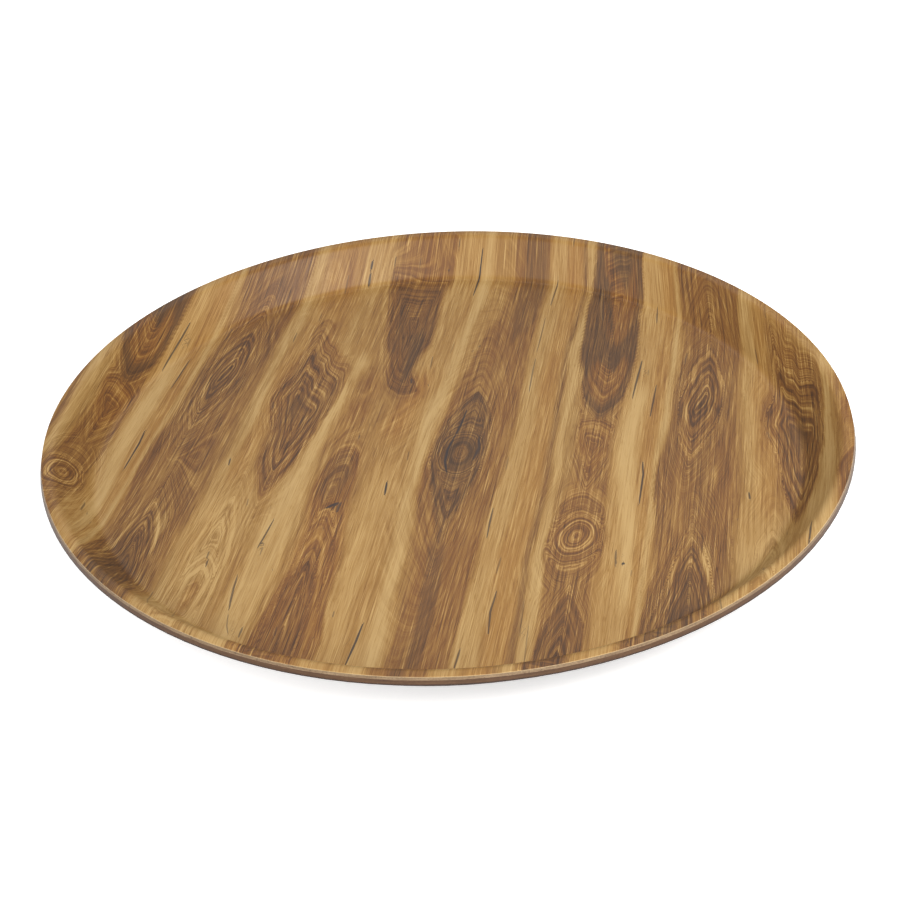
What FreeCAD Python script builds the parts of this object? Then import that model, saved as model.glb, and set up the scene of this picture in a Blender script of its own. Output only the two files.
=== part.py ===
import FreeCAD, Part
import os
import math
import Sketcher

# Round serving tray pressed from a stack of laminate sheets.
# Frame: millimetres, +Z up. The origin is the centre of the underside, so the
# tray stands on the plane Z = 0 and Z is its axis of symmetry. +X is to the
# right, +Y is away from the user.
#
# Every sheet is one closed shell of revolution. They nest without gaps: the
# bottom of one sheet is the top of the next one down. All sheets share the two
# bend centres of the tray, the fold (base to wall) and the crest (wall to lip),
# so a sheet that lies d millimetres under the wood face has the fold radius
# plus d and the crest radius minus d.

doc = FreeCAD.newDocument("RoundTray")

# ---------------------------------------------------------------- dimensions
dims = doc.addObject("Spreadsheet::Sheet", "Dims")
dims.Label = "Dims"
DRIVING = [
    ("rim_radius", 190.0, "top arris of the lip, where the wood face ends"),
    ("rim_flare", 1.1, "how much wider the cut edge is at its bottom"),
    ("floor_radius", 168.7, "where the floor plane and the wall cone meet"),
    ("well_depth", 19.5, "floor of the well to the top of the lip"),
    ("wall_angle", 49.6, "steepness of the wall, degrees above the floor"),
    ("fold_radius", 6.0, "bend from floor to wall, wood face"),
    ("crest_radius", 5.7, "bend from wall to lip, wood face"),
    ("face_thick", 0.25, "wood-print face sheet"),
    ("barrier_thick", 0.15, "cream barrier sheet"),
    ("pale_thick", 1.25, "pale fibre core"),
    ("brown_thick", 1.65, "brown core"),
    ("back_thick", 0.50, "dark backing sheet"),
]
dims.set("A1", "driving dimension")
dims.set("B1", "value")
dims.set("C1", "what it is")
for i, (name, value, note) in enumerate(DRIVING):
    row = str(i + 2)
    dims.set("A" + row, name)
    dims.set("B" + row, repr(value))
    dims.setAlias("B" + row, name)
    dims.set("C" + row, note)
doc.recompute()

D = dict((name, float(dims.get(name))) for name, _, _ in DRIVING)
TOTAL = (D["face_thick"] + D["barrier_thick"] + D["pale_thick"]
         + D["brown_thick"] + D["back_thick"])
TOTAL_E = ("(Dims.face_thick + Dims.barrier_thick + Dims.pale_thick"
           " + Dims.brown_thick + Dims.back_thick)")
HALF = math.radians(D["wall_angle"]) / 2.0
HALF_E = "tan(Dims.wall_angle * 0.5 deg)"

# bend centres, first as numbers for the starting geometry, then as formulas
FOLD_R = D["floor_radius"] - D["fold_radius"] * math.tan(HALF)
FOLD_Z = TOTAL + D["fold_radius"]
CREST_R = (D["floor_radius"] + D["well_depth"] / math.tan(2 * HALF)
           + D["crest_radius"] * math.tan(HALF))
CREST_Z = TOTAL + D["well_depth"] - D["crest_radius"]
FOLD_R_E = "Dims.floor_radius - Dims.fold_radius * " + HALF_E
FOLD_Z_E = TOTAL_E + " + Dims.fold_radius"
CREST_R_E = ("Dims.floor_radius + Dims.well_depth / tan(Dims.wall_angle * 1 deg)"
             " + Dims.crest_radius * " + HALF_E)
CREST_Z_E = TOTAL_E + " + Dims.well_depth - Dims.crest_radius"


def origin_plane(body, role):
    """The body's own origin plane with this role."""
    for feature in body.Origin.OriginFeatures:
        if feature.Role == role:
            return feature
    raise RuntimeError("no origin plane " + role)


def chain(depth):
    """Corner points of the section of the surface this far under the face."""
    beta = 2 * HALF
    rf = D["fold_radius"] + depth
    rc = D["crest_radius"] - depth
    z_floor = TOTAL - depth
    z_lip = TOTAL + D["well_depth"] - depth
    n = (math.sin(beta), -math.cos(beta))
    return {
        "depth": depth,
        "fold": rf,
        "crest": rc,
        "axis": (0.0, z_floor),
        "floor_end": (FOLD_R, z_floor),
        "wall_low": (FOLD_R + rf * n[0], FOLD_Z + rf * n[1]),
        "wall_high": (CREST_R - rc * n[0], CREST_Z - rc * n[1]),
        "lip_start": (CREST_R, z_lip),
        "lip_end": (D["rim_radius"] + D["rim_flare"] * depth / TOTAL, z_lip),
    }


def sheet(label, above, own, note):
    """One nested sheet. above: thickness aliases over it; own: its alias."""
    d0 = sum(D[a] for a in above)
    d1 = d0 + D[own]
    d0_e = "(" + (" + ".join("Dims." + a for a in above) or "0 mm") + ")"
    if not above:
        d0_e = "0"
    d1_e = "(" + " + ".join("Dims." + a for a in above + [own]) + ")"

    body = doc.addObject("PartDesign::Body", label.replace(" ", "_"))
    body.Label = label
    sk = body.newObject("Sketcher::SketchObject", "Section_" + label)
    sk.Label = label + " section"
    sk.AttachmentSupport = [(origin_plane(body, "XZ_Plane"), "")]
    sk.MapMode = "FlatFace"

    V = lambda p: FreeCAD.Vector(p[0], p[1], 0)
    fold_c = FreeCAD.Vector(FOLD_R, FOLD_Z, 0)
    crest_c = FreeCAD.Vector(CREST_R, CREST_Z, 0)
    up = FreeCAD.Vector(0, 0, 1)
    beta = 2 * HALF
    top, bot = chain(d0), chain(d1)

    def line(p, q):
        return sk.addGeometry(Part.LineSegment(V(p), V(q)), False)

    def arc(centre, radius, a0, a1):
        return sk.addGeometry(
            Part.ArcOfCircle(Part.Circle(centre, up, radius), a0, a1), False)

    ids = {}
    for tag, c in (("t", top), ("b", bot)):
        ids[tag + "floor"] = line(c["axis"], c["floor_end"])
        # fold: from straight down (-90 deg) round to the wall
        ids[tag + "fold"] = arc(fold_c, c["fold"], -math.pi / 2,
                                -math.pi / 2 + beta)
        ids[tag + "wall"] = line(c["wall_low"], c["wall_high"])
        # crest: its arc runs counter-clockwise from straight up to the wall
        ids[tag + "crest"] = arc(crest_c, c["crest"], math.pi / 2,
                                 math.pi / 2 + beta)
        ids[tag + "lip"] = line(c["lip_start"], c["lip_end"])
    ids["edge"] = line(bot["lip_end"], top["lip_end"])
    ids["axis"] = line(top["axis"], bot["axis"])

    C = Sketcher.Constraint
    add = sk.addConstraint

    def named(constraint, name, formula):
        k = add(constraint)
        sk.renameConstraint(k, name)
        sk.setExpression("Constraints." + name, formula)
        return k

    for tag, c, d_e in (("t", top, d0_e), ("b", bot, d1_e)):
        floor, fold, wall = (ids[tag + "floor"], ids[tag + "fold"],
                             ids[tag + "wall"])
        crest, lip = ids[tag + "crest"], ids[tag + "lip"]
        add(C("PointOnObject", floor, 1, -2))
        add(C("Horizontal", floor))
        add(C("Horizontal", lip))
        add(C("Tangent", floor, 2, fold, 1))
        add(C("Tangent", fold, 2, wall, 1))
        add(C("Tangent", wall, 2, crest, 2))
        add(C("Tangent", crest, 1, lip, 1))
        named(C("Radius", fold, c["fold"]), tag + "fold_radius",
              "Dims.fold_radius + " + d_e)
        named(C("Radius", crest, c["crest"]), tag + "crest_radius",
              "Dims.crest_radius - " + d_e)
        named(C("DistanceX", -1, 1, lip, 2, c["lip_end"][0]), tag + "rim",
              "Dims.rim_radius + Dims.rim_flare * " + d_e + " / " + TOTAL_E)
    add(C("Coincident", ids["tfold"], 3, ids["bfold"], 3))
    add(C("Coincident", ids["tcrest"], 3, ids["bcrest"], 3))
    named(C("DistanceX", -1, 1, ids["tfold"], 3, FOLD_R), "fold_x", FOLD_R_E)
    named(C("DistanceY", -1, 1, ids["tfold"], 3, FOLD_Z), "fold_z", FOLD_Z_E)
    named(C("DistanceX", -1, 1, ids["tcrest"], 3, CREST_R), "crest_x",
          CREST_R_E)
    named(C("DistanceY", -1, 1, ids["tcrest"], 3, CREST_Z), "crest_z",
          CREST_Z_E)
    add(C("Coincident", ids["edge"], 1, ids["blip"], 2))
    add(C("Coincident", ids["edge"], 2, ids["tlip"], 2))
    add(C("Coincident", ids["axis"], 1, ids["tfloor"], 1))
    add(C("Coincident", ids["axis"], 2, ids["bfloor"], 1))
    doc.recompute()

    turn = body.newObject("PartDesign::Revolution", "Turn_" + label)
    turn.Label = label + " turned"
    turn.Profile = sk
    turn.ReferenceAxis = (sk, ["V_Axis"])
    turn.Angle = 360.0
    turn.Reversed = False
    body.Tip = turn
    sk.Visibility = False
    body.Placement = FreeCAD.Placement(FreeCAD.Vector(0, 0, 0),
                                       FreeCAD.Rotation(0, 0, 0))
    doc.recompute()

    # the section area turned about the axis gives the volume to expect
    pts = Part.Wire(Part.__sortEdges__(sk.Shape.Edges))
    face = Part.Face(pts)
    expect = 2 * math.pi * face.CenterOfMass.x * face.Area
    got = body.Shape.Volume
    if abs(expect - got) > 1e-3 * expect:
        raise RuntimeError("%s: volume %.1f, expected %.1f"
                           % (label, got, expect))
    print("%-14s %9.1f mm3  free %s  %s" % (label, got, sk.solve(), note))
    return body


STACK = [
    ("face_sheet", "face_thick", "wood-print melamine face"),
    ("barrier_sheet", "barrier_thick", "cream sheet under the print"),
    ("pale_core", "pale_thick", "pale fibre plies"),
    ("brown_core", "brown_thick", "brown plies"),
    ("back_sheet", "back_thick", "dark melamine back"),
]
bodies = []
over = []
for label, alias, note in STACK:
    bodies.append(sheet(label, list(over), alias, note))
    over.append(alias)

# ------------------------------------------------------------------- checks
doc.recompute()
for obj in doc.Objects:
    for state in obj.State:
        if state in ("Invalid", "Error"):
            raise RuntimeError(obj.Label + " is " + state)
    if obj.isDerivedFrom("PartDesign::Feature") or obj in bodies:
        if obj.Shape.isNull() or not obj.Shape.isValid():
            raise RuntimeError(obj.Label + " has no valid shape")
for body in bodies:
    if len(body.Shape.Solids) != 1:
        raise RuntimeError(body.Label + " is not one solid")
for one, two in zip(bodies, bodies[1:]):
    common = one.Shape.common(two.Shape)
    if common.Volume > 1e-3:
        raise RuntimeError("%s and %s overlap" % (one.Label, two.Label))

os.makedirs("parts", exist_ok=True)
for body in bodies:
    shape = body.Shape
    shape.exportStep("parts/" + body.Label + ".step")
    box = shape.BoundBox
    print("%-14s X %.2f..%.2f  Z %.3f..%.3f" % (
        body.Label, box.XMin, box.XMax, box.ZMin, box.ZMax))
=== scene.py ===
import math

import bpy
import numpy as np
from mathutils import Matrix, Vector


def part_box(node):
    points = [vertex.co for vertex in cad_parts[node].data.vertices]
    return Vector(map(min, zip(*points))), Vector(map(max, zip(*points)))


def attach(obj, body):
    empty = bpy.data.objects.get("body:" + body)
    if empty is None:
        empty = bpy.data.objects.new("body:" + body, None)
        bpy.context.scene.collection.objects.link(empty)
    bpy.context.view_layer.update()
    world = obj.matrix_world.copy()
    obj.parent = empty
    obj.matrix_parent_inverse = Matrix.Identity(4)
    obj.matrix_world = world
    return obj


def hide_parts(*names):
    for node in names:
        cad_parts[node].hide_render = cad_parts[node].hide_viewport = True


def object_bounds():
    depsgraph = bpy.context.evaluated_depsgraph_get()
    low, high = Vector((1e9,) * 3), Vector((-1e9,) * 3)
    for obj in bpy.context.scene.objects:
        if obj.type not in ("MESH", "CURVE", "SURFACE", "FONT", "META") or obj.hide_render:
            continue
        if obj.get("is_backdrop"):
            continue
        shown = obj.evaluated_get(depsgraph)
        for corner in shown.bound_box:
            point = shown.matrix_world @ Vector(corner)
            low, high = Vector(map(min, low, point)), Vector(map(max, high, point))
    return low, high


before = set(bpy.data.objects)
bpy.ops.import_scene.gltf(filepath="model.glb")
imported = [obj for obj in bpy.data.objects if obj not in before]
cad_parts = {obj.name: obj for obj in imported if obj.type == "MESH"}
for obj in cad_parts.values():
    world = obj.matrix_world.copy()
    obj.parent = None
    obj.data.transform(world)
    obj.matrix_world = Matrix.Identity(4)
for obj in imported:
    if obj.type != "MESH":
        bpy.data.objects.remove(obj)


def write_size(first):
    lo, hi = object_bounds()
    row = {"lo": [float(x) for x in lo], "hi": [float(x) for x in hi]}
    sizes = {"cad": row} if first else {**SIZES, "visual": row}
    return sizes


SIZES = write_size(True)


# ---- wood decor, in millimetres: s runs across the grain, g along it
PERIOD = 245.9
GRAIN_LEAN = 11.5      # degrees that the grain leans to the right going away
STRETCH = 4.5          # growth-ring figure is this much longer than wide

# broad bands along the grain: [(g, s), ...], half width, tone, warmth, softness
BANDS = [
    ([(200, -103), (100, -104), (50, -102), (0, -101), (-100, -101), (-200, -104)], 4.5, .17, .35, 3.0),
    ([(200, -112), (60, -112), (0, -108), (-80, -110), (-200, -116)], 4.0, .42, .6, 4.0),
    ([(200, -92), (120, -92), (60, -97), (0, -94), (-40, -96), (-200, -96)], 4.5, .27, .75, 4.0),
    ([(200, -70), (140, -74), (100, -70), (70, -62), (45, -60)], 7.0, .24, .55, 6.0),
    ([(200, -90), (160, -84), (120, -82), (95, -82)], 6.0, .34, .8, 6.0),
    ([(75, -58), (40, -60.5), (0, -62.5), (-30, -63), (-60, -62), (-100, -62), (-150, -63), (-200, -64)], 3.6, .05, .4, 3.0),
    ([(-30, -66), (-60, -67), (-100, -66), (-150, -68), (-200, -70)], 6.5, .13, .45, 5.0),
    ([(-40, -92), (-80, -91), (-120, -90), (-200, -90)], 11.0, .18, .5, 6.0),
    ([(200, -44), (165, -42), (150, -42)], 15.0, .42, .75, 5.0),
    ([(60, -52), (20, -50), (-10, -48)], 8.0, .36, .75, 5.0),
    ([(200, -14), (100, -14), (40, -15), (0, -20), (-60, -22), (-120, -18), (-200, -16)], 11.0, .23, .6, 4.0),
    ([(200, -7), (120, -8), (60, -9), (20, -12), (-40, -10), (-80, -6), (-130, -4), (-200, -2)], 3.0, .10, .35, 2.5),
    ([(60, -22), (30, -26), (0, -28)], 6.0, .33, .95, 6.0),
    ([(-20, -27), (-80, -24), (-150, -22), (-200, -22)], 4.5, .16, .6, 4.0),
    ([(200, 2), (110, 1), (70, 0)], 4.5, .30, .6, 3.0),
    ([(200, 35), (100, 35), (0, 35), (-100, 34), (-200, 33)], 5.5, .19, .5, 2.5),
    ([(200, 44), (100, 43), (0, 43), (-60, 44), (-200, 46)], 5.0, .27, .8, 2.5),
    ([(200, 49), (60, 48.5), (0, 50), (-60, 51), (-200, 53)], 1.4, .46, .45, 1.5),
    ([(200, 53), (100, 53), (50, 53.5), (0, 54), (-60, 56), (-120, 57), (-200, 57)], 2.6, .14, .35, 2.0),
    ([(40, 58), (0, 59), (-60, 59)], 2.0, .30, .4, 2.0),
    ([(200, 91), (100, 90), (50, 89), (0, 88), (-60, 90), (-120, 91), (-200, 92)], 8.0, .20, .6, 4.0),
    ([(60, 88), (20, 87.5), (-20, 88), (-60, 93), (-110, 96)], 3.6, .06, .35, 3.0),
    ([(200, 98), (60, 98), (0, 98), (-60, 99), (-200, 100)], 3.4, .28, .8, 2.5),
    ([(200, 103), (60, 103), (0, 102), (-80, 101), (-200, 100)], 1.2, .12, .3, 1.2),
]

# closed figures: outline (s, g), tone, warmth, softness mm, ring contrast, whether growth rings nest in it
FIGURES = [
    ([(60, 42), (80, 42), (81, 20), (81, 0), (80, -30), (81, -50), (84, -67), (81, -86), (80, -105), (80, -130), (80, -200), (60, -200), (60, -130), (59, -100), (57, -80), (57, -62), (60, -48), (62, -25), (62, 0), (60, 20)], 0.43, 0.65, 2, 0.75, False),
    ([(62, 2), (70, -22), (78, 2), (79, 25), (70, 30), (61, 25)], 0.47, 0.8, 2, 0.7, True),
    ([(81.5, -66), (80.8, -57.8), (78.8, -50.6), (75.8, -45.2), (72, -42.4), (68, -42.4), (64.2, -45.2), (61.2, -50.6), (59.2, -57.8), (58.5, -66), (59.2, -74.2), (61.2, -81.4), (64.2, -86.8), (68, -89.6), (72, -89.6), (75.7, -86.8), (78.8, -81.4), (80.8, -74.2)], .44, .7, 1.6, 1, True),
    ([(77.5, -66), (77, -61.9), (75.7, -58.3), (73.8, -55.6), (71.3, -54.2), (68.7, -54.2), (66.2, -55.6), (64.3, -58.3), (63, -61.9), (62.5, -66), (63, -70.1), (64.3, -73.7), (66.2, -76.4), (68.7, -77.8), (71.3, -77.8), (73.8, -76.4), (75.7, -73.7), (77, -70.1)], .47, .75, 1.4, .9, False),
    ([(72.6, -66), (72.4, -64.6), (72, -63.4), (71.3, -62.5), (70.5, -62.1), (69.5, -62.1), (68.7, -62.5), (68, -63.4), (67.6, -64.6), (67.4, -66), (67.6, -67.4), (68, -68.6), (68.7, -69.5), (69.5, -69.9), (70.5, -69.9), (71.3, -69.5), (72, -68.6), (72.4, -67.4)], .58, .8, 1.4, .6, False),
    ([(71, -103), (75, -118), (79, -132), (80, -165), (80, -200), (60, -200), (61, -150), (62, -130), (66, -117)], 0.66, 0.6, 3, 0.8, True),
    ([(57, 205), (55, 180), (52, 160), (53, 130), (55, 105), (56, 80), (57.5, 60), (60, 46), (65, 36), (70, 28), (76, 36), (80, 48), (82, 66), (83, 90), (83, 115), (82, 135), (84, 160), (84, 205)], 0.7, 0.38, 1.6, 0.55, True),
    ([(60, 200), (60, 165), (63, 130), (66, 112), (72, 100), (77, 112), (79, 135), (80, 165), (80, 200)], 0.58, 0.85, 2.5, 0.6, False),
    ([(66, 205), (63, 188), (66, 170), (74, 154), (80, 172), (82, 190), (80, 205)], 0.64, 0.25, 3, 0.5, False),
    ([(62, 80), (60.5, 64), (63, 50), (70, 41), (76, 50), (79, 64), (80, 84), (76, 92), (70, 78), (65, 88)], 0.55, 0.8, 2, .6, False),
    ([(58, 122), (62, 98), (66, 84), (70, 76), (75, 84), (79, 100), (80, 122), (76, 112), (71, 98), (66, 108), (62, 126)], 0.77, 0.35, 1.6, .5, False),
    ([(59.5, 168), (61.5, 150), (65, 128), (70, 104), (68.4, 126), (65.4, 146), (62.4, 168)], 0.84, 0.3, 1.2, .3, False),
    ([(70, 95), (73, 96), (75, 84), (73, 70), (70, 76), (69, 86)], 0.82, 0.3, 1.5, 0.3, False),
    ([(-61, 166), (-60, 150), (-57, 130), (-54, 112), (-51, 95), (-48, 78), (-45, 60), (-40, 44), (-33, 38), (-26, 40), (-22, 44), (-25, 54), (-29.5, 64), (-29.5, 74), (-28, 84), (-25, 92), (-25, 100), (-27, 115), (-28, 140), (-27.5, 166)], 0.6, 0.7, 2.2, 0.6, True),
    ([(-58, 160), (-53, 130), (-48, 106), (-43, 92), (-38, 70), (-34, 50), (-30, 60), (-29, 80), (-26, 95), (-28, 120), (-28.5, 160)], 0.66, 0.6, 2.5, 0.5, False),
    ([(-50, 150), (-46, 128), (-43, 112), (-39, 128), (-38, 150), (-40, 162), (-48, 162)], 0.58, 0.6, 2.5, 0.6, False),
    ([(-38, 100), (-36, 74), (-34, 50), (-31, 58), (-30, 76), (-30, 92), (-33, 112)], 0.82, 0.4, 1.8, 0.4, False),
    ([(-56, 200), (-56, 168), (-27, 168), (-24, 200)], 0.45, 0.8, 4, 0.5, False),
    ([(-91, 118), (-86, 104), (-80, 98), (-76, 88), (-72, 80), (-67, 72), (-63, 62), (-62, 50), (-62, 30), (-66, 5), (-68, -15), (-73, -40), (-78, -58), (-83, -44), (-88, -22), (-90, 0), (-92, 12), (-96, 24), (-97, 36), (-96, 50), (-93, 66), (-92, 90)], 0.42, 0.78, 2, 0.9, False),
    ([(-87, 92), (-85, 86), (-82, 74), (-78, 70), (-75, 60), (-71, 57), (-67, 53), (-65, 44), (-64, 34), (-63.5, 20), (-65, 2), (-68, -12), (-71, -30), (-75, -46), (-78, -54), (-82, -42), (-86, -24), (-88, -6), (-90, 8), (-94, 22), (-95.5, 32), (-94, 44), (-91, 56), (-90, 76)], 0.53, 0.7, 1.4, 1.1, True),
    ([(-86, 60), (-82, 54), (-78, 50), (-75, 44), (-71, 46), (-68, 40), (-67, 28), (-69, 8), (-72, -12), (-77, -30), (-82, -14), (-86, 6), (-90, 24), (-90, 40)], 0.57, 0.65, 2, 0.9, False),
    ([(-84, 84), (-83, 74), (-80, 66), (-84, 66), (-87, 74)], 0.7, 0.5, 1.5, 0.8, False),
    ([(-82, 38), (-76, 34), (-75, 20), (-78, 8), (-84, 14), (-86, 28)], 0.58, 0.45, 2.5, 0.6, False),
    ([(-54, 34), (-48, 36), (-43, 26), (-43, 14), (-48, 8), (-54, 16)], 0.42, 0.85, 3, 0.3, False),
    ([(-50, -8), (-44, -6), (-40, -14), (-38, -30), (-37, -45), (-34, -60), (-33, -75), (-31, -90), (-30, -105), (-29.5, -120), (-28, -135), (-26, -150), (-27, -205), (-58, -205), (-57, -150), (-55.5, -135), (-54, -120), (-53, -100), (-54, -85), (-54, -70), (-55.5, -60), (-56, -45), (-56, -30), (-54, -18)], 0.47, 0.9, 2.6, 0.6, True),
    ([(-48, -10), (-42, -18), (-40, -32), (-42, -46), (-48, -58), (-54, -46), (-54, -24)], 0.54, 0.6, 3, 0.5, False),
    ([(-45, -84), (-41, -94), (-39, -112), (-36, -135), (-34, -205), (-54, -205), (-52, -135), (-50, -112), (-48, -94)], 0.6, 0.85, 2.2, 0.8, True),
    ([(-44, -118), (-41, -135), (-40, -205), (-48, -205), (-47, -135)], 0.5, 0.7, 2, 0.6, False),
    ([(8, 205), (8, 165), (7, 140), (4, 112), (1, 90), (-1, 66), (-4, 44), (-6, 20), (-8, -2), (-8.5, -20), (-6, -42), (-3, -62), (0, -82), (2, -104), (3, -130), (4, -205), (27, -205), (28, -130), (29, -60), (30, -20), (29.5, 10), (29, 50), (28, 90), (28, 205)], 0.44, 0.7, 1.8, 0.6, False),
    ([(14, 205), (13, 165), (13, 130), (17, 100), (24, 110), (27, 140), (27, 205)], 0.58, 0.5, 3, 0.35, False),
    ([(8, 52), (2, 40), (-3, 24), (-6, 4), (-6, -14), (-2, -34), (3, -54), (11, -78), (14, -58), (17, -40), (19, -20), (20, 0), (18, 18), (15, 34), (12, 44)], 0.65, 0.42, 1.6, 1, True),
    ([(7, 32), (3, 20), (0, 6), (0, -12), (3, -26), (9, -42), (13, -28), (16, -14), (16, 2), (14, 16), (11, 28)], 0.66, 0.35, 1.4, 0.9, False),
    ([(8, 9), (3, 2), (1.4, -8), (4, -18), (8, -21), (13, -16), (15.4, -6), (13, 4)], 0.86, 0.2, 1.2, 0.6, True),
    ([(8, 4), (5, -2), (4.6, -10), (8, -16), (11, -12), (12.4, -4)], 0.62, 0.4, 1.2, 0.7, False),
    ([(10, -56), (14, -80), (17, -110), (18, -205), (12, -205), (10, -120), (7, -84)], 0.63, 0.5, 2.5, 0.5, False),
    ([(104, 205), (103, 165), (105, 135), (108, 112), (107, 84), (105, 55), (105, 28), (105, 5), (102, -10), (102, -34), (104, -54), (106, -76), (104, -100), (101, -130), (98, -205), (136, -205), (135, -130), (136, -90), (137, -50), (136, -10), (134, 30), (135, 60), (138, 95), (140, 140), (140, 205)], 0.5, 0.62, 2, 0.8, False),
    ([(122, 104), (127, 88), (130, 70), (130, 48), (127, 26), (121, 8), (116, -4), (112, 10), (108, 30), (108, 52), (111, 74), (116, 92)], 0.57, 0.62, 1.6, 1.1, True),
    ([(121, 72), (125, 60), (126, 44), (123, 28), (119, 18), (114, 26), (111, 40), (113, 56)], 0.6, 0.55, 1.4, 1.1, False),
    ([(119, 50), (122, 42), (122, 32), (118, 24), (114, 32), (115, 42)], 0.66, 0.5, 1.4, 0.9, False),
    ([(114, -8), (119, -20), (121, -36), (118, -54), (114, -64), (110, -52), (108, -34), (110, -18)], 0.4, 0.6, 1.6, 0.35, False),
    ([(120, -52), (125, -64), (129, -80), (132, -100), (134, -130), (136, -205), (102, -205), (103, -140), (106, -118), (110, -100), (113, -82), (116, -66)], 0.56, 0.55, 2.2, 1, True),
    ([(120, -92), (125, -106), (128, -128), (130, -205), (108, -205), (110, -140), (114, -114)], 0.7, 0.4, 2.6, 0.9, False),
    ([(120, -112), (123, -126), (122, -205), (115, -205), (116, -130)], 0.78, 0.35, 2.5, 0.6, False),
    ([(128, -62), (131, -80), (129, -96), (126, -84), (124, -72)], 0.34, 0.4, 1.5, 1, False),
    ([(-91, -44), (-84, -66), (-80, -96), (-78, -140), (-78, -205), (-103, -205), (-102, -140), (-100, -96), (-97, -66)], 0.2, 0.5, 3, 0.55, True),
    ([(-91, -70), (-86, -90), (-84, -120), (-98, -120), (-96, -90)], 0.15, 0.4, 3, 0.6, False),
    ([(-90, -114), (-87, -122), (-88, -134), (-91, -142), (-93, -132), (-93, -120)], 0.29, 0.7, 1.6, 0.5, True),
]

# knots, whose rings are round: s, g, half width, half length, ring pitch factor, ring contrast
KNOTS = [(70, -66, 10.5, 16.5, .75, 1.05), (8, -6, 7.5, 15.0, .9, .5)]

# thin checks: points (s, g), half width mm, strength, and small dark specks
CHECKS = [
    ([(-11, 186), (-11.3, 168), (-11.5, 148)], .55, 1.), ([(-100, 98), (-99.6, 87)], .35, .6),
    ([(-73.4, 168), (-73, 162)], .8, .9), ([(-72.8, 161), (-72.2, 152)], .8, .85),
    ([(-84.6, 156), (-84, 143)], .4, .5), ([(-60.6, 174), (-60.2, 167)], .4, .6),
    ([(-46, 176), (-45.8, 169)], .35, .4), ([(-25, 191), (-25, 184)], .4, .6),
    ([(-91.6, 121), (-91, 111)], .35, .4), ([(-22, 81), (-21, 68)], .35, .55),
    ([(-29, 58), (-28, 52)], .8, .8), ([(-94.4, 28), (-93, 21)], .4, .5),
    ([(-44, 3), (-43.6, -2)], .4, .6), ([(-13.2, 96), (-13.4, 84)], .3, .35),
    ([(34, 169), (33.2, 155), (32.8, 141)], .45, .75), ([(31.6, 128), (31.8, 108), (31.6, 90)], .4, .55),
    ([(32, 84), (32.2, 68), (33, 50)], .45, .65), ([(42.8, 194), (43.2, 186)], .4, .7),
    ([(91, 144), (91.8, 127)], .4, .75), ([(87, 88), (86.6, 80), (85.6, 64), (85, 50)], .55, .85),
    ([(91, 79), (91, 73)], .35, .4), ([(96, 64), (95.6, 50), (95, 34)], .45, .85),
    ([(109.6, 98), (109, 86)], .4, .5), ([(60, 160), (61.6, 142), (62.8, 128)], .5, .6),
    ([(-101.8, -24), (-101, -31)], .5, .85), ([(-84, -56), (-83.2, -62)], .35, .4),
    ([(-67.8, -70), (-68.6, -82), (-69.6, -93)], .45, .85), ([(-67.6, -88), (-67, -98)], .35, .5),
    ([(-90.4, -97), (-90, -103)], .45, .6), ([(-89.2, -102), (-88.6, -109)], .45, .75),
    ([(-73, -112), (-72, -122), (-71, -130), (-70, -136)], .5, .75), ([(-69.6, -138), (-68, -146), (-65.6, -152)], .35, .5),
    ([(-61, -146), (-61, -153)], .5, .7), ([(-106.4, -128), (-104, -148), (-100.6, -164)], .4, .5),
    ([(-92.4, -140), (-90, -156), (-87, -172)], .35, .45), ([(-22.6, -35), (-21.4, -46)], .6, 1.),
    ([(-17.2, -9), (-16.4, -17)], .4, .5), ([(-11.4, -137), (-12, -150), (-13, -165)], .55, .95),
    ([(-25.4, -131), (-25, -136)], .4, .5), ([(-47, -144), (-46, -151)], .4, .45),
    ([(30, -50), (30.2, -62), (30.6, -73)], .45, .8), ([(31, -8), (31.2, -20)], .35, .4),
    ([(39, -86), (38.6, -98)], .4, .5), ([(40.6, -109), (40, -124), (41.4, -139)], .5, .8),
    ([(31.4, -148), (31, -161)], .5, .75), ([(94.4, -5), (95.4, -16), (95.4, -40)], .5, .95),
    ([(88, -75), (89, -87)], .6, .6), ([(92, -85.3), (92, -83.5)], .9, 1.), ([(96, -88), (96, -93)], .35, .35),
    ([(53, -114), (53.6, -126), (54.4, -139)], .35, .4), ([(57, -130), (58.4, -156)], .35, .4),
    ([(4.4, 31), (3.8, 18), (2.4, 4)], .55, 1.0), ([(2.6, 8), (1.0, -6), (1.6, -16), (4.0, -25)], .75, 1.0), ([(14.2, 8), (15.8, -2), (14.6, -13)], .8, .8),
    ([(-42, -54.4), (-44, -57), (-46.4, -59.4)], 1.0, .95), ([(-40.4, -54), (-40.6, -62)], .8, .75),
]
SPECKS = [(-29, 171, .8, .5), (-19, 51.6, .7, .8), (.8, 93.4, .9, .7), (-2, 88, .7, .75), (1.2, 85, .5, .5),
          (-.6, 82, .5, .5), (-41, 12, .5, .5), (-106, -46, .5, .6), (-72, -62, .5, .6), (-58.8, -107, .5, .8),
          (-30, -149.4, .7, .7), (-14, -64, .5, .4), (-43.4, -75, .7, .5), (-24, 28, .4, .4),
          (31, -95, .4, .4), (-18, -148.6, .4, .4), (-70, 8, .4, .3), (115, 12, .4, .3)]

def wrap_s(s):
    return (s + PERIOD / 2) % PERIOD - PERIOD / 2


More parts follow.
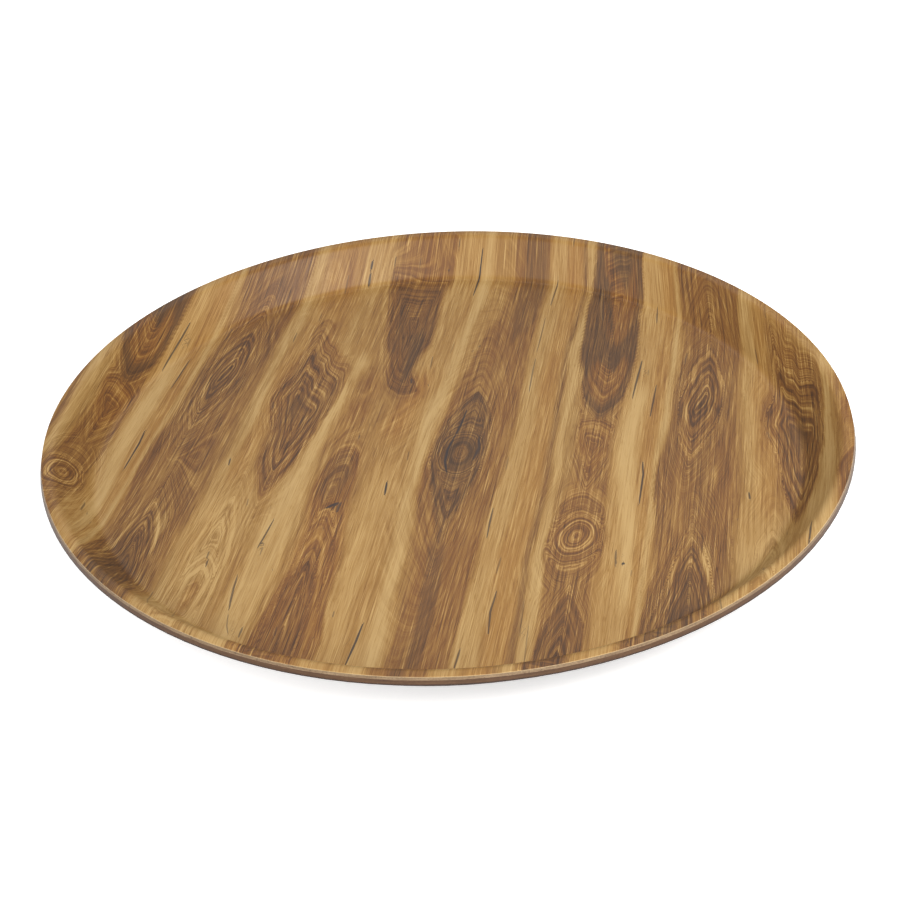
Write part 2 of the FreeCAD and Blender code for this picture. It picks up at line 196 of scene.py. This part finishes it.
def seg_dist(s, g, pts, closed):
    """Distance to a polyline, with lengths along the grain divided by STRETCH."""
    best = np.full(s.shape, 1e9)
    y = g / STRETCH
    n = len(pts)
    for i in range(n if closed else n - 1):
        ax, ay = pts[i][0], pts[i][1] / STRETCH
        bx, by = pts[(i + 1) % n][0], pts[(i + 1) % n][1] / STRETCH
        dx, dy = bx - ax, by - ay
        t = np.clip(((s - ax) * dx + (y - ay) * dy) / (dx * dx + dy * dy + 1e-9), 0, 1)
        best = np.minimum(best, (s - ax - t * dx) ** 2 + (y - ay - t * dy) ** 2)
    return np.sqrt(best)


def inside(s, g, pts):
    hit = np.zeros(s.shape, bool)
    n = len(pts)
    for i in range(n):
        ax, ay = pts[i]
        bx, by = pts[(i + 1) % n]
        if ay == by:
            continue
        cross = ((ay > g) != (by > g)) & (s < (bx - ax) * (g - ay) / (by - ay) + ax)
        hit ^= cross
    return hit


def smooth01(x):
    x = np.clip(x, 0, 1)
    return x * x * (3 - 2 * x)


def lattice(seed):
    r = np.random.RandomState(seed)
    return r.rand(256, 256)


def value_noise(x, y, seed):
    t = lattice(seed)
    xi, yi = np.floor(x).astype(int), np.floor(y).astype(int)
    fx, fy = smooth01(x - xi), smooth01(y - yi)
    a = t[xi % 256, yi % 256]
    b = t[(xi + 1) % 256, yi % 256]
    c = t[xi % 256, (yi + 1) % 256]
    d = t[(xi + 1) % 256, (yi + 1) % 256]
    return (a * (1 - fx) + b * fx) * (1 - fy) + (c * (1 - fx) + d * fx) * fy - .5


def decor_fields(s, g):
    """ring distance, tone, warmth, ring contrast, place across a check, its strength and the strength of a painted
    highlight beside it.
    """
    # the print wanders a little: low-frequency drift and a finer ripple
    ws = s + 2.6 * value_noise(s / 46, g / 90, 3) + 1.5 * value_noise(s / 13, g / 30, 4) + .7 * value_noise(s / 6, g / 14, 5)
    wg = g + 5.0 * value_noise(s / 20, g / 60, 6) + 3.2 * value_noise(s / 5, g / 22, 7)
    ring = np.full(s.shape, 1e9)
    clear = np.full(s.shape, 1e9)
    tone = np.full(s.shape, .30)
    warm = np.full(s.shape, .6)
    figure = np.full(s.shape, .38)
    w0 = wrap_s(ws)
    for pts, half, t, w, soft in BANDS:
        gs = [p[0] for p in pts][::-1]
        cs = [p[1] for p in pts][::-1]
        c = np.interp(wg, gs, cs)
        ends = smooth01((wg - gs[0]) / 25 + .5) * smooth01((gs[-1] - wg) / 25 + .5)
        if gs[0] <= -190:
            ends = np.where(wg < 0, 1.0 * smooth01((gs[-1] - wg) / 25 + .5), ends)
        if gs[-1] >= 190:
            ends = np.where(wg > 0, 1.0 * smooth01((wg - gs[0]) / 25 + .5), ends)
        d = wrap_s(w0 - c)
        m = smooth01((half + soft - np.abs(d)) / (2 * soft)) * ends
        tone += (t - tone) * m
        warm += (w - warm) * m
        figure += ((.2 + t) - figure) * m
    for pts, t, w, soft, fig, nests in FIGURES:
        lo = min(p[0] for p in pts) - 60
        hi = max(p[0] for p in pts) + 60
        for k in (-1, 0, 1):
            x = w0 + k * PERIOD
            near = (x > lo) & (x < hi)
            if not near.any():
                continue
            xs, ys = x[near], wg[near]
            d = seg_dist(xs, ys, pts, True)
            if nests:
                ring[near] = np.minimum(ring[near], d)
                out = np.where(inside(xs, ys, pts), 0, d)
                clear[near] = np.minimum(clear[near], out)
            m = smooth01((np.where(inside(xs, ys, pts), d, -d) + soft * .35) / (.95 * soft))
            tone[near] += (t - tone[near]) * m
            warm[near] += (w - warm[near]) * m
            figure[near] += (fig - figure[near]) * m
    for ks, kg, kx, ky, pitch, fig in KNOTS:
        for k in (-1, 0, 1):
            q = np.hypot((w0 + k * PERIOD - ks) / kx, (wg - kg) / ky)
            m = smooth01((1.45 - q) / .45)
            ring += (kx * pitch * q - ring) * m
            figure += (fig - figure) * m * smooth01((1.3 - q) / .4)
    figure *= .25 + .75 * np.exp(-clear / 8)
    ring = np.minimum(ring, 90) + .30 * s * (1 - np.exp(-clear / 8))
    # checks keep their own straight places, so they read the unwarped print
    p0 = wrap_s(s)
    across = np.full(s.shape, 30.0)
    gain = np.zeros(s.shape)
    painted_highlight = np.zeros(s.shape)
    score = np.full(s.shape, 1e9)
    items = [(p, h, v) for p, h, v in CHECKS]
    items += [([(x, y + r), (x, y - r)], r, v) for x, y, r, v in SPECKS]
    for pts, half, strength in items:
        gm = np.mean([p[1] for p in pts])
        span = max(p[1] for p in pts) - min(p[1] for p in pts)
        for k in (-1, 0, 1):
            x = p0 + k * PERIOD
            near = (np.abs(x - pts[0][0]) < 14) & (np.abs(g - gm) < span / 2 + 12)
            if not near.any():
                continue
            xs, gs_ = x[near], g[near]
            best = np.full(xs.shape, 1e9)
            side = np.zeros(xs.shape)
            along = np.zeros(xs.shape)
            for i in range(len(pts) - 1):
                ax, ay = pts[i]
                bx, by = pts[i + 1]
                dx, dy = bx - ax, by - ay
                ln = np.hypot(dx, dy)
                t = ((xs - ax) * dx + (gs_ - ay) * dy) / ln ** 2
                tc = np.clip(t, 0, 1)
                ex, ey = xs - ax - tc * dx, gs_ - ay - tc * dy
                dd = np.hypot(ex, ey)
                perp = ((xs - ax) * dy - (gs_ - ay) * dx) / ln * -1
                upd = dd < best
                best = np.where(upd, dd, best)
                side = np.where(upd, perp, side)
                along = np.where(upd, (i + tc) / (len(pts) - 1), along)
            # thin towards both ends
            taper = np.sqrt(np.clip(1 - (2 * along - 1) ** 2, 0, 1)) * .8 + .2
            over = np.sqrt(np.maximum(best ** 2 - side ** 2, 0))
            a = np.sign(side) * np.hypot(side, over) / (.85 * half * taper)
            upd = best / half < score[near]
            idx = np.where(near)
            sel = tuple(i[upd] for i in idx)
            score[sel] = (best / half)[upd]
            across[sel] = a[upd]
            gain[sel] = strength
            # painted highlight: thin checks get a pale strip on one side, standing in for light catching the check's
            # edge
            painted_highlight[sel] = .12 if half <= .5 else 0.0
    fade = smooth01((9 - np.abs(across)) / 3)
    tone = .47 + np.where(tone > .47, .88, 1.08) * (tone - .47)
    return ring, tone, warm, figure, np.clip(across, -12, 12), gain * fade, painted_highlight * fade

WORLD = .38
LIGHTS = [
    ("front_left", (-1.35, -1.13, 1.48), (1.6, 1.6), 31.0, (1.0, .985, .965)),
    ("near_right", (.49, -.41, .77), (.6, .6), 10.3, (1.0, .98, .95)),
    ("low_front", (.38, -2.13, .79), (1.3, .8), 24.0, (1.0, .99, .975)),
    ("behind", (.1, 1.6, 1.7), (1.6, 1.2), 9.0, (.98, .99, 1.0)),
]


# ---- the pressed face sheet: same section as the CAD node it stands for
face_lo, face_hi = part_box("face_sheet")
MM = .001
FACE = .25                         # sheet thickness, mm
TOP = face_hi.z / MM               # lip height, 23.3
FLOOR = face_lo.z / MM + FACE      # floor height, 3.8
SPREAD = 1.1 / 3.8                 # how far the cut edge flares per mm of depth
LIP = face_hi.x / MM - SPREAD * FACE
FOLD_C = (LIP - 24.0724, FLOOR + 6.0)
CREST_C = (LIP - 2.0704, TOP - 5.7)
WALL = math.radians(49.6)


def section(depth):
    """Points (r, z, unrolled radius) from the floor's edge to the lip, depth mm under the face."""
    rf, rc = 6.0 + depth, 5.7 - depth
    pts = []
    run = FOLD_C[0]
    for i in range(9):
        a = -math.pi / 2 + WALL * i / 8
        pts.append((FOLD_C[0] + rf * math.cos(a), FOLD_C[1] + rf * math.sin(a), run + 6.0 * WALL * i / 8))
    run += 6.0 * WALL
    r0, z0 = pts[-1][0], pts[-1][1]
    a = math.pi / 2 + WALL
    r1, z1 = CREST_C[0] + rc * math.cos(a), CREST_C[1] + rc * math.sin(a)
    flat = math.hypot(r1 - r0, z1 - z0)
    for i in range(1, 14):
        k = i / 14
        pts.append((r0 + (r1 - r0) * k, z0 + (z1 - z0) * k, run + flat * k))
    run += flat
    for i in range(7):
        b = a - WALL * i / 6
        pts.append((CREST_C[0] + rc * math.cos(b), CREST_C[1] + rc * math.sin(b), run + 5.7 * WALL * i / 6))
    run += 5.7 * WALL
    end = LIP + SPREAD * depth
    for i in (1, 2):
        pts.append((CREST_C[0] + (end - CREST_C[0]) * i / 2, TOP - depth, run + (LIP - CREST_C[0]) * i / 2))
    return pts


def sheet_shell(top, bottom, n):
    """A closed thin sheet between two depths under the face, as (vertices, faces)."""
    ca = [(math.cos(2 * math.pi * i / n), math.sin(2 * math.pi * i / n)) for i in range(n)]
    pts, faces = [(0, 0, FLOOR - top)], []
    rings = section(top) + section(bottom)[::-1]
    for k, (r, z, u) in enumerate(rings):
        base = 1 + k * n
        pts += [(r * c, r * s, z) for c, s in ca]
        if k:
            faces += [(base - n + i, base + i, base + (i + 1) % n, base - n + (i + 1) % n) for i in range(n)]
        else:
            faces += [(0, 1 + i, 1 + (i + 1) % n) for i in range(n)]
    base = 1 + (len(rings) - 1) * n
    pts.append((0, 0, FLOOR - bottom))
    faces += [(base + i, len(pts) - 1, base + (i + 1) % n) for i in range(n)]
    return np.array(pts, float), faces


def face_mesh():
    rings = 128
    verts, run, faces = [(0, 0, FLOOR)], [0.0], []
    start = [0]
    for k in range(1, rings + 1):
        start.append(len(verts))
        r = FOLD_C[0] * k / rings
        for i in range(6 * k):
            a = 2 * math.pi * i / (6 * k)
            verts.append((r * math.cos(a), r * math.sin(a), FLOOR))
            run.append(r)
    for j in range(6):
        faces.append((0, 1 + j, 1 + (j + 1) % 6))
    for k in range(1, rings):
        na, nb = 6 * k, 6 * (k + 1)
        for j in range(6):
            for i in range(k + 1):
                a0 = start[k] + (j * k + i) % na
                b0 = start[k + 1] + (j * (k + 1) + i) % nb
                b1 = start[k + 1] + (j * (k + 1) + i + 1) % nb
                faces.append((a0, b0, b1))
                if i < k:
                    faces.append((a0, b1, start[k] + (j * k + i + 1) % na))
    n = 6 * rings
    ca = [(math.cos(2 * math.pi * i / n), math.sin(2 * math.pi * i / n)) for i in range(n)]
    last = start[rings]
    under = section(FACE)[::-1]
    under = [under[i] for i in range(len(under)) if i in (0, 2, 4, 6, 8) or i > 20 or i % 4 == 0]
    for r, z, u in section(0.0)[1:] + under:
        base = len(verts)
        verts += [(r * c, r * s, z) for c, s in ca]
        run += [u] * n
        faces += [(last + i, base + i, base + (i + 1) % n, last + (i + 1) % n) for i in range(n)]
        last = base
    tip = len(verts)
    verts.append((0, 0, FLOOR - FACE))
    run.append(0.0)
    faces += [(last + i, tip, last + (i + 1) % n) for i in range(n)]
    return np.array(verts, float), np.array(run, float), faces


def as_mesh(name, verts, faces):
    mesh = bpy.data.meshes.new(name)
    mesh.from_pydata([tuple(v) for v in verts], [], faces)
    mesh.validate()
    mesh.update()
    ob = bpy.data.objects.new(name, mesh)
    bpy.context.scene.collection.objects.link(ob)
    return ob


verts, run, faces = face_mesh()
face = as_mesh("printed_face", verts * MM, faces)
face.data.polygons.foreach_set("use_smooth", [True] * len(face.data.polygons))
face.data.set_sharp_from_angle(angle=math.radians(35))

angle = np.arctan2(verts[:, 1], verts[:, 0])
xt, yt = run * np.cos(angle), run * np.sin(angle)
lean = math.radians(GRAIN_LEAN)
across_g = xt * math.cos(lean) - yt * math.sin(lean)
along_g = xt * math.sin(lean) + yt * math.cos(lean)
ring, tone, warm, figure, chk, gain, painted_highlight = decor_fields(across_g, along_g)


def attribute(ob, name, *cols):
    data = np.stack(cols, -1).astype(np.float32).ravel()
    ob.data.attributes.new(name, "FLOAT_VECTOR", "POINT").data.foreach_set("vector", data)


attribute(face, "grain", across_g, along_g, ring)
attribute(face, "look", tone, warm, figure)
attribute(face, "check", chk, gain, painted_highlight)


# ---- materials
def lin(rgb):
    return tuple(((c / 255 + .055) / 1.055) ** 2.4 if c > 10 else c / 255 / 12.92 for c in rgb) + (1.0,)


class Tree:
    def __init__(self, name):
        self.mat = bpy.data.materials.new(name)
        self.mat.use_nodes = True
        self.t = self.mat.node_tree
        self.t.nodes.clear()
        self.out = self.t.nodes.new("ShaderNodeOutputMaterial")
        self.bsdf = self.t.nodes.new("ShaderNodeBsdfPrincipled")
        self.t.links.new(self.bsdf.outputs[0], self.out.inputs["Surface"])

    def put(self, socket, v):
        if hasattr(v, "is_output"):
            self.t.links.new(v, socket)
        else:
            socket.default_value = v

    def node(self, kind, **props):
        n = self.t.nodes.new(kind)
        for k, v in props.items():
            setattr(n, k, v)
        return n

    def math(self, op, a, b=None, c=None, clamp=False):
        n = self.node("ShaderNodeMath", operation=op, use_clamp=clamp)
        for i, v in enumerate((a, b, c)):
            if v is not None:
                self.put(n.inputs[i], v)
        return n.outputs[0]

    def vec(self, x, y, z):
        n = self.node("ShaderNodeCombineXYZ")
        for i, v in enumerate((x, y, z)):
            self.put(n.inputs[i], v)
        return n.outputs[0]

    def split(self, v):
        n = self.node("ShaderNodeSeparateXYZ")
        self.put(n.inputs[0], v)
        return n.outputs

    def attr(self, name):
        return self.split(self.node("ShaderNodeAttribute", attribute_name=name).outputs["Vector"])

    def noise(self, v, scale=1.0, detail=0.0, rough=.5, dims="3D"):
        n = self.node("ShaderNodeTexNoise", noise_dimensions=dims)
        self.put(n.inputs["Vector"], v)
        n.inputs["Scale"].default_value = scale
        n.inputs["Detail"].default_value = detail
        n.inputs["Roughness"].default_value = rough
        return n.outputs[0]

    def remap(self, v, a, b, c=0.0, d=1.0, smooth=False):
        n = self.node("ShaderNodeMapRange", interpolation_type="SMOOTHSTEP" if smooth else "LINEAR")
        for i, x in enumerate((v, a, b, c, d)):
            self.put(n.inputs[i], x)
        return n.outputs[0]

    def ramp(self, v, stops):
        n = self.node("ShaderNodeValToRGB")
        el = n.color_ramp.elements
        while len(el) < len(stops):
            el.new(.5)
        for e, (p, c) in zip(el, stops):
            e.position = p
        for e, (p, c) in zip(el, stops):
            e.color = lin(c)
        self.put(n.inputs[0], v)
        return n.outputs[0]

    def mix(self, f, a, b):
        n = self.node("ShaderNodeMix", data_type="RGBA")
        self.put(n.inputs[0], f)
        self.put(n.inputs[6], a)
        self.put(n.inputs[7], b)
        return n.outputs[2]

    def bump(self, h, strength, dist):
        n = self.node("ShaderNodeBump")
        n.inputs["Strength"].default_value = strength
        n.inputs["Distance"].default_value = dist
        self.put(n.inputs["Height"], h)
        return n.outputs[0]

    def set(self, **kw):
        for k, v in kw.items():
            self.put(self.bsdf.inputs[k.replace("_", " ")], v)


def wood():
    m = Tree("wood_print")
    s, g, rr = m.attr("grain")
    tone, warm, fig = m.attr("look")
    chk, gain, painted_highlight = m.attr("check")
    rings = m.noise(m.vec(m.math("MULTIPLY", rr, .85), m.math("MULTIPLY", g, .018), 0.0), detail=3.0, rough=.7, dims="2D")
    fibre = m.noise(m.vec(m.math("MULTIPLY", s, 1.0), m.math("MULTIPLY", g, .024), 3.7), detail=4.0, rough=.72)
    broad = m.noise(m.vec(m.math("MULTIPLY", s, .11), m.math("MULTIPLY", g, .016), 8.1), detail=2.0, rough=.6)
    pore = m.noise(m.vec(m.math("MULTIPLY", s, 1.6), m.math("MULTIPLY", g, .16), 5.3), detail=1.0)
    line = m.remap(rings, .38, .62, -1.0, 1.0)
    t = m.math("MULTIPLY_ADD", m.math("MULTIPLY", line, fig), .20, tone)
    hair = m.noise(m.vec(m.math("MULTIPLY", rr, 2.5), m.math("MULTIPLY", g, .03), 2.4), detail=2.0, rough=.6)
    t = m.math("MULTIPLY_ADD", m.math("MULTIPLY", m.remap(hair, .53, .62, smooth=True), fig), -.21, t)
    t = m.math("MULTIPLY_ADD", m.math("MULTIPLY", m.remap(hair, .45, .37, smooth=True), fig), .09, t)
    busy = m.remap(tone, .1, .5, .42, 1.1)
    t = m.math("MULTIPLY_ADD", m.math("MULTIPLY", m.remap(fibre, .36, .64, -.5, .5), busy), .25, t)
    t = m.math("MULTIPLY_ADD", m.math("SUBTRACT", broad, .5), .22, t)
    thin = m.noise(m.vec(m.math("MULTIPLY", s, 2.3), m.math("MULTIPLY", g, .035), 6.2), detail=1.0)
    t = m.math("MULTIPLY_ADD", m.math("MULTIPLY", m.remap(thin, .60, .68, smooth=True), busy), .24, t)
    t = m.math("MULTIPLY_ADD", m.math("MULTIPLY", m.remap(thin, .40, .32, smooth=True), busy), -.24, t)
    pores = m.math("MULTIPLY", m.remap(pore, .63, .74, smooth=True), m.math("MULTIPLY_ADD", fig, .35, .12))
    t = m.math("ADD", t, m.math("MULTIPLY", pores, .45), clamp=True)
    cool = m.ramp(t, [(0, (160, 133, 87)), (0.25, (127, 99, 53)), (0.5, (95, 68, 34)), (0.75, (75, 52, 28)), (1, (52, 35, 21))])
    hot = m.ramp(t, [(0, (163, 129, 74)), (0.25, (134, 95, 41)), (0.5, (106, 65, 24)), (0.75, (81, 49, 20)), (1, (54, 33, 17))])
    col = m.mix(m.math("ADD", warm, m.math("MULTIPLY", m.math("SUBTRACT", broad, .5), .5), clamp=True), cool, hot)
    off = m.math("ABSOLUTE", chk)
    rag = m.math("ADD", off, m.math("MULTIPLY", m.math("SUBTRACT", pore, .5), .9))
    split = m.math("MULTIPLY", m.remap(rag, .6, 1.4, 1.0, 0.0, smooth=True), gain)
    # painted highlight: a pale strip along one side of each thin check, standing in for light on its edge
    painted_highlight_mask = m.math("MULTIPLY", m.remap(m.math("ABSOLUTE", m.math("ADD", chk, 2.6)), .3, 1.5, 1.0, 0.0, smooth=True), m.math("MULTIPLY", gain, painted_highlight))
    col = m.mix(painted_highlight_mask, col, lin((214, 190, 138)))
    col = m.mix(m.math("MULTIPLY", split, .95), col, lin((38, 31, 31)))
    h = m.math("SUBTRACT", m.math("MULTIPLY_ADD", rings, .5, fibre), split)
    rough = m.remap(m.math("ADD", m.math("MULTIPLY", fibre, .6), m.math("MULTIPLY", pore, .4)), .3, .7, .40, .54)
    m.set(Base_Color=col, Roughness=rough, Normal=m.bump(h, .35, .00004))
    m.bsdf.inputs["IOR"].default_value = 1.40
    return m.mat


def where(m):
    return m.split(m.node("ShaderNodeTexCoord").outputs["Object"])


def edge_material(name, stops, fine, rough, along=90.0, through=2600.0, speck=0.0):
    """A cut or moulded sheet: streaks that follow the sheet round the rim."""
    m = Tree(name)
    x, y, z = where(m)
    streak = m.noise(m.vec(m.math("MULTIPLY", x, along), m.math("MULTIPLY", y, along), m.math("MULTIPLY", z, through)), detail=3.0, rough=.65)
    grit = m.noise(m.vec(m.math("MULTIPLY", x, fine), m.math("MULTIPLY", y, fine), m.math("MULTIPLY", z, fine * 1.5)), detail=2.0, rough=.6)
    t = m.math("ADD", m.math("MULTIPLY", streak, .65), m.math("MULTIPLY", grit, .35), clamp=True)
    col = m.ramp(m.remap(t, .3, .7), stops)
    if speck:
        dots = m.noise(m.vec(m.math("MULTIPLY", x, 900.0), m.math("MULTIPLY", y, 900.0), m.math("MULTIPLY", z, 900.0)), detail=1.0)
        col = m.mix(m.remap(dots, .64, .70, 0.0, speck, smooth=True), col, lin((60, 44, 34)))
    m.set(Base_Color=col, Roughness=m.remap(t, .3, .7, rough - .07, rough + .07), Normal=m.bump(t, .4, .00006))
    m.bsdf.inputs["IOR"].default_value = 1.33
    return m.mat


face.data.materials.append(wood())
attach(face, "root")
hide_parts("face_sheet")

sheet_pts, sheet_faces = sheet_shell(FACE, .40, 384)
cream = as_mesh("cream_line", sheet_pts * MM, sheet_faces)
cream.data.polygons.foreach_set("use_smooth", [True] * len(cream.data.polygons))
cream.data.set_sharp_from_angle(angle=math.radians(35))
cream.data.materials.append(edge_material("cream_line", [(0, (150, 130, 96)), (1, (172, 152, 115))], 700.0, .55))
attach(cream, "root")
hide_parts("barrier_sheet")

LOOKS = {
    "pale_core": edge_material("pale_fibre", [(0, (82, 64, 47)), (.45, (108, 88, 66)), (1, (140, 120, 94))], 1300.0, .62, 110.0, 2400.0, .5),
    "brown_core": edge_material("brown_core", [(0, (56, 36, 20)), (.5, (70, 47, 28)), (1, (84, 60, 38))], 900.0, .48, 60.0, 1500.0),
    "back_sheet": edge_material("dark_back", [(0, (34, 22, 15)), (.5, (43, 29, 20)), (1, (54, 38, 27))], 420.0, .42, 420.0, 420.0),
}
for node, mat in LOOKS.items():
    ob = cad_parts[node]
    for i in range(len(ob.material_slots)):
        ob.material_slots[i].material = mat
    if not ob.material_slots:
        ob.data.materials.append(mat)

# ---- floor, light and camera
lo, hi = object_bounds()
SIDE = 6.0
floor = as_mesh("pale_floor", [(-SIDE, -SIDE, lo.z), (SIDE, -SIDE, lo.z), (SIDE, SIDE, lo.z), (-SIDE, SIDE, lo.z)], [(0, 1, 2, 3)])
fm = Tree("pale_paper")
fx, fy, fz = where(fm)
mottle = fm.noise(fm.vec(fm.math("MULTIPLY", fx, 30.0), fm.math("MULTIPLY", fy, 30.0), 0.0), detail=3.0, rough=.6)
fm.set(Base_Color=fm.ramp(mottle, [(0, (247, 247, 247)), (1, (252, 252, 252))]), Roughness=fm.remap(mottle, .3, .7, .85, .95))
floor.data.materials.append(fm.mat)
fm.bsdf.inputs["Emission Color"].default_value = (1, 1, 1, 1)
fm.bsdf.inputs["Emission Strength"].default_value = .45
floor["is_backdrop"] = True

scene = bpy.context.scene
scene.view_settings.view_transform = "Standard"
scene.view_settings.look = "None"
world = bpy.data.worlds.new("studio")
scene.world = world
world.use_nodes = True
world.node_tree.nodes["Background"].inputs[0].default_value = (1, 1, 1, 1)
world.node_tree.nodes["Background"].inputs[1].default_value = WORLD


def softbox(name, place, size, power, tint=(1, 1, 1)):
    lamp = bpy.data.lights.new(name, "AREA")
    lamp.shape = "RECTANGLE"
    lamp.size, lamp.size_y = size
    lamp.energy = power
    lamp.color = tint
    ob = bpy.data.objects.new(name, lamp)
    ob.location = place
    ob.rotation_mode = "QUATERNION"
    ob.rotation_quaternion = (-Vector(place)).to_track_quat("-Z", "Y")
    scene.collection.objects.link(ob)
    return ob


for name, place, size, power, tint in LIGHTS:
    softbox(name, place, size, power, tint)

# the camera looks down at 34 degrees from the horizon, a little to one side
FOCAL, EX, EY, DIST, TILT, TURN = 1647.479, -4.26961, -40.86687, 4.1321147, .58870832, -.04972138
LIP_MM = LIP
axis = Vector((math.sin(TURN) * math.cos(TILT), -math.cos(TURN) * math.cos(TILT), -math.sin(TILT)))
u = axis.cross(Vector((0, 0, 1))).normalized()
v = axis.cross(u).normalized()
right = u if u.x > 0 else -u
away = v if v.z > 0 else -v
mid = Vector((EX / FOCAL * DIST, EY / FOCAL * DIST, DIST))
eye = -LIP_MM * MM * Vector((mid.dot(right), mid.dot(away), mid.dot(axis))) + Vector((0, 0, TOP * MM))
cx = Vector((right.x, away.x, axis.x))
cy = -Vector((right.y, away.y, axis.y))
cz = -Vector((right.z, away.z, axis.z))
cam = bpy.data.cameras.new("view")
cam.sensor_width = 36.0
cam.lens = FOCAL / 900 * 36.0
cam.clip_start, cam.clip_end = .01, 60.0
eye_ob = bpy.data.objects.new("view", cam)
eye_ob.matrix_world = Matrix(((cx.x, cy.x, cz.x, eye.x), (cx.y, cy.y, cz.y, eye.y), (cx.z, cy.z, cz.z, eye.z), (0, 0, 0, 1)))
scene.collection.objects.link(eye_ob)
scene.camera = eye_ob

write_size(False)
